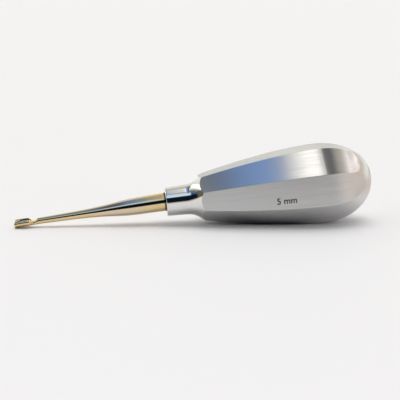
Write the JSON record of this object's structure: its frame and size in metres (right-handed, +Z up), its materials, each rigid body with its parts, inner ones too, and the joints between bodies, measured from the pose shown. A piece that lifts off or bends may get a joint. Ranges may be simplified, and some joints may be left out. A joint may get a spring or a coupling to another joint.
{
  "type": "dental elevator",
  "caption": "Dental elevator with a hollow faceted pear-shaped steel handle, a tapering gold-coated shank and a winged gouge blade for loosening tooth roots.",
  "frame": {"origin": "centre of the bounding box in plan, on the surface that the instrument lies on", "axes": "+X from the blade tip towards the handle's dome end, along the instrument in plan; +Z up; mirror symmetric about the XZ plane"},
  "size_m": [0.1292, 0.0274, 0.0278],
  "materials": {
    "satin_steel": "satin ground facets, mirror polished neck",
    "plain_steel": "plain turned, hidden inside the handle",
    "braze": "dull braze metal",
    "gold_coated_steel": "mirror polished, gold titanium-nitride coating"
  },
  "bodies": {
    "root": {"front_shell": "satin_steel", "rear_shell": "satin_steel", "joint_ring": "plain_steel", "neck_bush": "plain_steel", "mouth_seal": "braze", "shank": "gold_coated_steel", "lock_pin": "plain_steel"}
  },
  "joints": []
}
